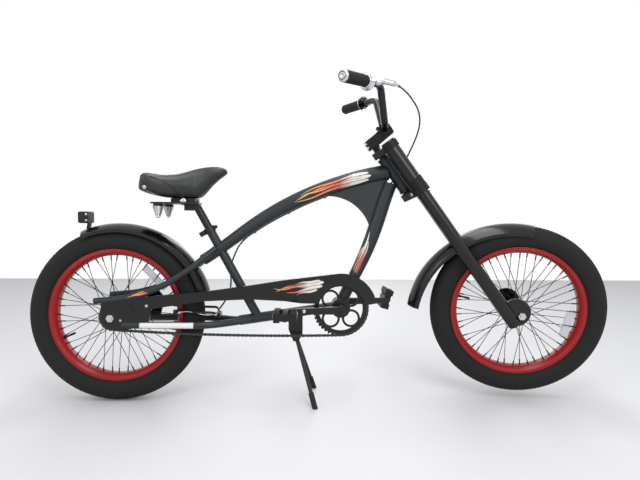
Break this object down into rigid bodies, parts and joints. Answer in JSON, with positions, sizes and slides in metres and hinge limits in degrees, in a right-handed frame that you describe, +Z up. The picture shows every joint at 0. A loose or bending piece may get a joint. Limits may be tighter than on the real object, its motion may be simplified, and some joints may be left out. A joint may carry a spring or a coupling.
{
  "type": "chopper bicycle",
  "caption": "Low long-wheelbase chopper bicycle with raked twin-leg fork, balloon tyres, swept bars, sprung saddle, chain guard and centre stand.",
  "frame": {"origin": "centre of the bounding box at floor level, which lies midway between the axles", "axes": "+X forward, +Y to the rider's left, +Z up"},
  "size_m": [1.823, 0.6089, 1.0159],
  "materials": {
    "frame_paint": "satin",
    "black_paint": "gloss",
    "rim_paint": "gloss",
    "tyre": "matte",
    "chrome": "polished",
    "steel": "zinc plated",
    "black_steel": "satin",
    "vinyl": "soft satin vinyl",
    "rubber": "matte",
    "black_plastic": "moulded",
    "clear_reflector": "prismatic"
  },
  "bodies": {
    "frame": {"spine": "frame_paint", "lower_tube": "frame_paint", "seat_tube": "frame_paint", "stays": "frame_paint", "dropouts": "black_paint", "seat_post": "black_steel", "seat_collar": "black_steel", "headset_cups": "black_steel", "bracket_cups": "steel", "rear_axle": "steel", "chain": "steel", "chain_guard": "black_paint", "rear_fender": "black_paint", "rear_fender_bracket": "black_steel", "rear_reflector": "black_plastic", "saddle": "vinyl", "saddle_chassis": "black_steel", "saddle_springs": "chrome", "rear_brake": "black_steel", "brake_cable_head": "rubber", "brake_cable_frame": "rubber", "cable_clips": "black_steel", "stand_bracket": "black_steel"},
    "steering": {"lower_crown": "black_paint", "upper_crown": "black_paint", "fork_covers": "black_paint", "fork_legs": "black_paint", "front_axle": "steel", "front_fender": "black_paint", "front_fender_bridge": "black_steel", "stem": "black_paint", "handlebar": "black_paint", "grips": "rubber", "grip_metal": "chrome", "brake_lever": "chrome", "brake_cable_bar": "rubber"},
    "front_wheel": {"front_tyre": "tyre", "front_rim": "rim_paint", "front_hub": "black_steel", "front_spokes": "black_steel", "front_wheel_reflector": "clear_reflector"},
    "rear_wheel": {"rear_tyre": "tyre", "rear_rim": "rim_paint", "rear_hub": "black_steel", "rear_spokes": "black_steel", "rear_wheel_reflector": "clear_reflector", "rear_sprocket": "steel"},
    "crank": {"crank": "black_steel", "chainring": "black_steel"},
    "pedal_right": {"pedal_right": "black_plastic"},
    "pedal_left": {"pedal_left": "black_plastic"},
    "stand": {"stand_legs": "black_steel", "stand_feet": "rubber"}
  },
  "joints": [
    {"name": "steering", "type": "hinge", "parent": "frame", "child": "steering", "pos_m": [0.23942, 0, 0.72642], "axis": [-0.5878, 0, 0.809], "range_deg": [-28.9, 51.1]},
    {"name": "front_wheel", "type": "hinge", "parent": "steering", "child": "front_wheel", "pos_m": [0.63845, -0.01338, 0.29324], "axis": [0.1558, 0.9813, 0.1132], "continuous": true},
    {"name": "rear_wheel", "type": "hinge", "parent": "frame", "child": "rear_wheel", "pos_m": [-0.6395, 0, 0.274], "axis": [0, 1, 0], "continuous": true},
    {"name": "crank", "type": "hinge", "parent": "frame", "child": "crank", "pos_m": [0.0665, 0, 0.302], "axis": [0, 1, 0], "continuous": true},
    {"name": "pedal_right", "type": "hinge", "parent": "crank", "child": "pedal_right", "pos_m": [-0.10344, -0.1353, 0.29755], "axis": [0, 1, 0], "continuous": true},
    {"name": "pedal_left", "type": "hinge", "parent": "crank", "child": "pedal_left", "pos_m": [0.23644, 0.1353, 0.30645], "axis": [0, 1, 0], "continuous": true},
    {"name": "stand", "type": "hinge", "parent": "frame", "child": "stand", "pos_m": [-0.0735, 0, 0.204], "axis": [0, 1, 0], "range_deg": [0, 96]}
  ]
}
